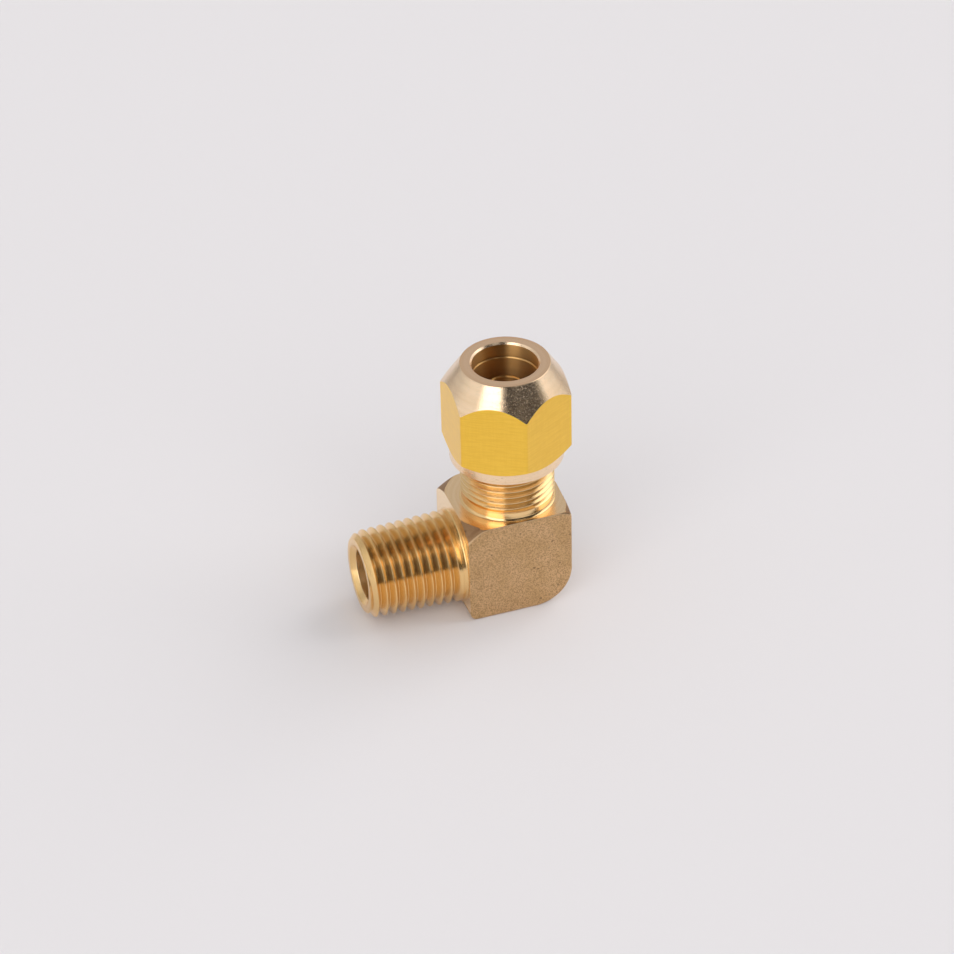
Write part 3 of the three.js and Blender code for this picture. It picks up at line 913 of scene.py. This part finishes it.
def forged_brass():
    """The forging's skin: a fine blasted grain with darker freckles, pale flecks painted in as glints, and
    a few pits. The clipped shoulders are rougher, and browner partly in their own colour and partly as
    painted shade.
    A paler line along their edges is partly wear and partly a painted highlight."""
    material, tree, shader, place = brass_shader("forged_brass")
    grain = noise(tree, place, FORGED_GRAIN_SCALE, detail=3.0, roughness=0.6)
    fine = noise(tree, place, FORGED_FINE_SCALE, roughness=0.6)
    broad = noise(tree, place, FORGED_BROAD_SCALE, detail=3.0)
    ragged = vector_maths(tree, "ADD", place, maths(tree, "MULTIPLY", grain, PIT_RAGGEDNESS))
    cells = node(tree, "ShaderNodeTexVoronoi", {"Vector": ragged, "Scale": PIT_SCALE}).outputs["Distance"]
    pit = ramp(tree, cells, *PIT_RAMP)
    normal = node(tree, "ShaderNodeNewGeometry").outputs["Normal"]
    upward = node(tree, "ShaderNodeSeparateXYZ", {"Vector": normal}).outputs["Z"]
    clipped = ramp(tree, upward, *SHOULDER_TILT)
    on_edge = maths(tree, "MULTIPLY", ramp(tree, upward, *SIDE_TILT),
                    ramp(tree, upward, *reversed(SHOULDER_TILT)))
    grains = maths(tree, "ADD", maths(tree, "MULTIPLY", grain, GRAIN_HEIGHT),
                   maths(tree, "MULTIPLY", fine, FINE_HEIGHT))
    height = maths(tree, "SUBTRACT", grains, maths(tree, "MULTIPLY", pit, PIT_DEPTH))
    rougher = maths(tree, "ADD", 1.0, maths(tree, "MULTIPLY", clipped, SHOULDER_ROUGHER))
    bumped(tree, shader, maths(tree, "MULTIPLY", height, rougher), FORGED_RELIEF)
    stained = blend_colours(tree, ramp(tree, broad, *STAIN_RAMP), colour(*FORGED_LIGHT),
                            colour(*FORGED_STAIN))
    freckled = blend_colours(tree, ramp(tree, grain, *FRECKLE_RAMP), stained, colour(*FORGED_DARK))
    # Pale flecks painted into the colour as glints.
    painted_glints = maths(tree, "MULTIPLY", ramp(tree, fine, *PAINTED_GLINT_RAMP), PAINTED_GLINT_SHARE)
    with_painted_glints = blend_colours(tree, painted_glints, freckled, colour(*FORGED_PALE_HIGHLIGHT_AND_WEAR))
    # The clipped shoulders browned, partly in their own colour and partly as painted shade.
    shoulder_brown_and_shade = maths(tree, "MULTIPLY", clipped, SHOULDER_SHADE_AND_BROWN_SHARE)
    with_shoulder_brown_and_shade = blend_colours(tree, shoulder_brown_and_shade, with_painted_glints, colour(*SHOULDER_BROWN_AND_SHADE))
    # A paler line along the shoulders' edges, partly wear and partly a painted highlight.
    pale = maths(tree, "MULTIPLY", on_edge, EDGE_WEAR_AND_HIGHLIGHT_SHARE)
    edged = blend_colours(tree, pale, with_shoulder_brown_and_shade, colour(*FORGED_PALE_HIGHLIGHT_AND_WEAR))
    pitted = blend_colours(tree, maths(tree, "MULTIPLY", pit, PIT_SHADE), edged, colour(*PIT_BROWN))
    tree.links.new(pitted, shader.inputs["Base Color"])
    rough = maths(tree, "ADD", FORGED_ROUGHNESS, maths(tree, "MULTIPLY", fine, FORGED_ROUGHNESS_SPREAD))
    tree.links.new(rough, shader.inputs["Roughness"])
    return material


def drawn_brass():
    """The hexagon's drawn flats: a yellow dipped skin with draw lines up them and fine scuffs across."""
    material, tree, shader, place = brass_shader("drawn_brass")
    upright = vector_maths(tree, "MULTIPLY", place, DRAW_LINE_STRETCH)
    level = vector_maths(tree, "MULTIPLY", place, SCUFF_STRETCH)
    draw_lines = noise(tree, upright, DRAW_LINE_SCALE, detail=3.0, roughness=0.6)
    scuffs = noise(tree, level, SCUFF_SCALE, detail=3.0, roughness=0.6)
    fine = noise(tree, place, DRAWN_GRAIN_SCALE)
    lines = maths(tree, "ADD", maths(tree, "MULTIPLY", draw_lines, DRAW_LINE_HEIGHT), scuffs)
    height = maths(tree, "ADD", lines, maths(tree, "MULTIPLY", fine, DRAWN_GRAIN_HEIGHT))
    bumped(tree, shader, height, DRAWN_RELIEF)
    line_share = maths(tree, "MULTIPLY", ramp(tree, draw_lines, *DRAW_LINE_RAMP), DRAW_LINE_SHADE)
    lined = blend_colours(tree, line_share, colour(*DRAWN_YELLOW), colour(*DRAWN_DEEP))
    scuff_share = maths(tree, "MULTIPLY", ramp(tree, scuffs, *SCUFF_RAMP), SCUFF_SHADE)
    marked = blend_colours(tree, scuff_share, lined, colour(*DRAWN_DEEP))
    tree.links.new(marked, shader.inputs["Base Color"])
    rough = maths(tree, "ADD", DRAWN_ROUGHNESS, maths(tree, "MULTIPLY", scuffs, DRAWN_ROUGHNESS_SPREAD))
    tree.links.new(rough, shader.inputs["Roughness"])
    oiled(shader, DRAWN_FILM)
    return material


# ---------------------------------------------------------------- finishing pieces


def weight_normals(piece):
    """Lets large faces set the shading at rounded edges, so that flats look flat."""
    modifier = piece.modifiers.new("weighted", "WEIGHTED_NORMAL")
    modifier.keep_sharp = True
    graph = bpy.context.evaluated_depsgraph_get()
    result = bpy.data.meshes.new_from_object(piece.evaluated_get(graph))
    piece.modifiers.clear()
    used = piece.data
    piece.data = result
    bpy.data.meshes.remove(used)


def placed(piece, body, replaces, materials, zone):
    """Moves a piece from millimetres about the crossing to metres in the frame, and gives each face the
    material that zone picks from its middle and its normal."""
    mesh = piece.data
    count = len(mesh.polygons)
    centres, normals = np.zeros(count * 3), np.zeros(count * 3)
    mesh.polygons.foreach_get("center", centres)
    mesh.polygons.foreach_get("normal", normals)
    mesh.materials.clear()
    for material in materials:
        mesh.materials.append(material)
    picks = zone(centres.reshape(-1, 3), normals.reshape(-1, 3))
    mesh.polygons.foreach_set("material_index", picks.astype(np.int32))
    mesh.polygons.foreach_set("use_smooth", np.ones(count, bool))
    mesh.set_sharp_from_angle(angle=SHARP_ANGLE)
    mesh.transform(Matrix.Scale(MM, 4) @ Matrix.Translation((0, 0, AXIS_HEIGHT)))
    mesh.update()
    weight_normals(piece)
    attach(piece, body)
    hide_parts(replaces)


# How near a face's middle has to be to count as on a plane or at a radius, and how level it has to face.
ON_PLANE = 0.01
AT_RADIUS = 0.02
INSIDE_MARGIN = 0.2
LEVEL = 0.99


def facing_out(centres, normals):
    """Above 0 where a face looks away from the upright axis, below 0 where it looks towards it."""
    return normals[:, 0] * centres[:, 0] + normals[:, 1] * centres[:, 1]


def body_zones(centres, normals):
    """0 forged, 1 turned about the upright leg, 2 turned about the pipe leg, 3 and 4 the two bores,
    5 the flat top."""
    x, y, z = centres.T
    out_of_pipe = np.hypot(y, z)
    out_of_leg = np.hypot(x, y)
    zones = np.zeros(len(centres))
    zones[z > BLOCK_TOP - ON_PLANE] = 1
    zones[x < BLOCK_LEFT + ON_PLANE] = 2
    in_socket = (out_of_leg < SEAT_RADIUS + AT_RADIUS) & (z > 0) & (x > BLOCK_LEFT)
    past_pipe_bore = out_of_pipe > PIPE_BORE_RADIUS + AT_RADIUS
    zones[in_socket & past_pipe_bore & (facing_out(centres, normals) < ON_PLANE)] = 3
    zones[(out_of_pipe < PIPE_BORE_RADIUS + AT_RADIUS) & (x < BLOCK_RIGHT - OVERCUT)] = 4
    zones[(np.abs(z - BLOCK_TOP) < ON_PLANE) & (normals[:, 2] > LEVEL)] = 5
    return zones


def nut_zones(centres, normals):
    """0 the drawn flats, 1 turned outside, 2 the inside, 3 the flat rim."""
    z = centres[:, 2]
    out = np.hypot(centres[:, 0], centres[:, 1])
    zones = np.ones(len(centres))
    upright = np.abs(normals[:, 2]) < AT_RADIUS
    zones[upright & (out > HEX_FLAT_RADIUS - AT_RADIUS) & (z > HEX_BOTTOM + AT_RADIUS)] = 0
    within = (out < NUT_RELIEF_RADIUS + INSIDE_MARGIN) & (z < NUT_TOP - NUT_MOUTH_CHAMFER)
    zones[within & (facing_out(centres, normals) < 0)] = 2
    zones[(z > NUT_TOP - ON_PLANE) & (normals[:, 2] > LEVEL)] = 3
    return zones


def everywhere(centres, normals):
    return np.zeros(len(centres))


UP = (0.0, 0.0, 1.0)
SIDEWAYS = (1.0, 0.0, 0.0)
TURNED_TINT = (1.0, 0.76, 0.51)
THREAD_TINT = (0.94, 0.66, 0.32)
FACE_TINT = (0.96, 0.70, 0.42)
PIPE_TINT = (0.88, 0.60, 0.27)
BORE_TINT = (1.0, 0.76, 0.45)
SOCKET_TINT = (0.84, 0.53, 0.21)
RIM_TINT = (0.90, 0.63, 0.41)

turned_up = turned_brass("turned_upright", UP, THREAD_TINT, 0.20)
faced_up = turned_brass("faced_upright", UP, FACE_TINT, 0.22, directional=0.6)
turned_pipe = turned_brass("turned_pipe", SIDEWAYS, PIPE_TINT, 0.25, film=0.1)
bored_up = turned_brass("bored_upright", UP, SOCKET_TINT, 0.40, directional=0.9, grooves=0.006, film=0.0)
bored_pipe = turned_brass("bored_pipe", SIDEWAYS, BORE_TINT, 0.26)
nut_turned = turned_brass("nut_turned", UP, TURNED_TINT, 0.24, grooves=0.006, grain=0.008, nicks=0.02)
nut_rim = turned_brass("nut_rim", UP, RIM_TINT, 0.18, directional=0.4, film=0.1)

placed(elbow_body(), "elbow", "elbow_body",
       [forged_brass(), turned_up, turned_pipe, bored_up, bored_pipe, faced_up], body_zones)
placed(compression_nut(), "nut", "compression_nut", [drawn_brass(), nut_turned, bored_up, nut_rim],
       nut_zones)
placed(sleeve(), "sleeve", "sleeve", [bored_up], everywhere)
placed(tube_support(), "elbow", "tube_support", [bored_up], everywhere)

# ---------------------------------------------------------------- floor, light and camera

FLOOR_SIZE = 8.0
FLOOR_COLOUR = (0.725, 0.71, 0.72)
FLOOR_NEAR = (0.75, 0.73, 0.74)
FLOOR_FAR = (0.05, 0.045, 0.04)
FLOOR_FADE = (0.12, 0.40)
FLOOR_ROUGHNESS = 0.7
FLOOR_SHINE = 0.2
BACKDROP = (0.78, 0.77, 0.78)


def floor():
    """A plain pale floor. In the metal's reflections it is a lit table top that fades into the dark."""
    half = FLOOR_SIZE / 2
    corners = [(-half, -half, 0), (half, -half, 0), (half, half, 0), (-half, half, 0)]
    made = mesh_object("floor", corners, [(0, 1, 2, 3)])
    material = bpy.data.materials.new("floor")
    material.use_nodes = True
    tree = material.node_tree
    shader = tree.nodes["Principled BSDF"]
    away = vector_maths(tree, "LENGTH", node(tree, "ShaderNodeNewGeometry").outputs["Position"])
    mirrored = node(tree, "ShaderNodeLightPath").outputs["Is Glossy Ray"]
    dimmed = blend_colours(tree, ramp(tree, away, *FLOOR_FADE), colour(*FLOOR_NEAR), colour(*FLOOR_FAR))
    shade = blend_colours(tree, mirrored, colour(*FLOOR_COLOUR), dimmed)
    tree.links.new(shade, shader.inputs["Base Color"])
    shader.inputs["Roughness"].default_value = FLOOR_ROUGHNESS
    shader.inputs["Specular IOR Level"].default_value = FLOOR_SHINE
    made.data.materials.append(material)


# Directions are azimuths from +X towards +Y and elevations, in degrees. The camera stands at azimuth -108.
# Each row: centre, half width, lowest and highest elevation, softness of the sides, brightness. A later row
# covers the earlier ones.
PANEL_RISE = 5.0
ROOM_COLOUR = (1, 0.985, 0.99)
STUDIO_AMBIENT = 0.86
STUDIO_PANELS = [
    (72, 80, 5, 56, 40.0, 0.55),        # grey wall behind the object
    (0, 180, 60, 100, 1.0, 0.08),       # dark ceiling
    (55, 45, 53, 100, 20.0, 0.03),      # its darkest part, behind the object
    (-71, 47, -30, 68, 1.5, 0.05),      # dark opening, from the camera to the right
    (-70, 16, 49, 59, 6.0, 1.0),        # light strip high in the opening
    (-139, 21, -10, 62, 2.0, 2.2),      # bright screen to the left of the camera
    (-3, 21, -5, 24, 14.0, 0.85),       # pale wall low on the right
    (30, 22, -5, 15, 20.0, 0.95),       # the same wall further back
    (5, 30, 24, 60, 14.0, 1.8),         # softbox on the right
]
# What matt surfaces see instead, so that the shadows on the floor have their strength.
FILL_AMBIENT = 0.60
FILL_PANELS = [(5, 30, 14, 60, 14.0, 3.6), (-110, 50, 0, 50, 14.0, 2.0)]


def panel(tree, azimuth, elevation, centre, width, low, high, softness):
    """1 inside a panel of the studio and 0 outside it."""
    turn = maths(tree, "SUBTRACT", azimuth, centre)
    turn = maths(tree, "WRAP", turn, 180.0, -180.0)
    away = maths(tree, "ABSOLUTE", turn)
    across = ramp(tree, away, width + softness / 2, width - softness / 2)
    above = ramp(tree, elevation, low - PANEL_RISE / 2, low + PANEL_RISE / 2)
    below = ramp(tree, elevation, high + PANEL_RISE / 2, high - PANEL_RISE / 2)
    return maths(tree, "MULTIPLY", across, maths(tree, "MULTIPLY", above, below))


def studio():
    """A pale room made of panels. Reflections see the studio panels, matt surfaces see the fill panels, and
    the camera sees a plain backdrop."""
    world = bpy.data.worlds.new("studio")
    bpy.context.scene.world = world
    world.use_nodes = True
    tree = world.node_tree
    tree.nodes.clear()
    direction = node(tree, "ShaderNodeTexCoord").outputs["Generated"]
    parts = node(tree, "ShaderNodeSeparateXYZ", {"Vector": direction}).outputs
    azimuth = maths(tree, "DEGREES", maths(tree, "ARCTAN2", parts["Y"], parts["X"]))
    elevation = maths(tree, "DEGREES", maths(tree, "ARCSINE", parts["Z"]))
    levels = []
    for level, panels in ((STUDIO_AMBIENT, STUDIO_PANELS), (FILL_AMBIENT, FILL_PANELS)):
        for centre, width, low, high, softness, brightness in panels:
            inside = panel(tree, azimuth, elevation, centre, width, low, high, softness)
            level = blend_numbers(tree, inside, level, brightness)
        levels.append(level)
    rays = node(tree, "ShaderNodeLightPath").outputs
    level = blend_numbers(tree, rays["Is Diffuse Ray"], *levels)
    room = node(tree, "ShaderNodeBackground", {"Color": colour(*ROOM_COLOUR), "Strength": level})
    plain = node(tree, "ShaderNodeBackground", {"Color": colour(*BACKDROP), "Strength": 1.0})
    mix = node(tree, "ShaderNodeMixShader",
               {0: rays["Is Camera Ray"], 1: room.outputs[0], 2: plain.outputs[0]})
    output = node(tree, "ShaderNodeOutputWorld")
    tree.links.new(mix.outputs[0], output.inputs["Surface"])
    world.cycles.sampling_method = "MANUAL"
    world.cycles.sample_map_resolution = 1024


CAMERA_AZIMUTH = math.radians(-18.22)
CAMERA_ELEVATION = math.radians(35.64)
CAMERA_ROLL = math.radians(-1.46)
CAMERA_DISTANCE = 525.0
CAMERA_RIGHT = -4.72
CAMERA_UP = 9.73
CAMERA_LENS = 132.08
CAMERA_SENSOR = 36
CAMERA_NEAR = 0.01
CAMERA_FAR = 50


def camera():
    """A long lens above and to the left of the forged side, aimed past the crossing of the legs."""
    az, el = CAMERA_AZIMUTH, CAMERA_ELEVATION
    back = Vector((math.sin(az) * math.cos(el), -math.cos(az) * math.cos(el), math.sin(el)))
    level_right = Vector((math.cos(az), math.sin(az), 0))
    level_up = back.cross(level_right)
    right = math.cos(CAMERA_ROLL) * level_right + math.sin(CAMERA_ROLL) * level_up
    up = back.cross(right)
    crossing = Vector((0, 0, AXIS_HEIGHT))
    place = crossing + CAMERA_DISTANCE * back + CAMERA_RIGHT * right + CAMERA_UP * up
    data = bpy.data.cameras.new("camera")
    data.lens = CAMERA_LENS
    data.sensor_width = CAMERA_SENSOR
    data.clip_start = CAMERA_NEAR
    data.clip_end = CAMERA_FAR
    made = bpy.data.objects.new("camera", data)
    made.matrix_world = Matrix.Translation(place * MM) @ Matrix((right, up, back)).transposed().to_4x4()
    bpy.context.scene.collection.objects.link(made)
    bpy.context.scene.camera = made


floor()
studio()
camera()
bpy.context.scene.view_settings.view_transform = "Standard"
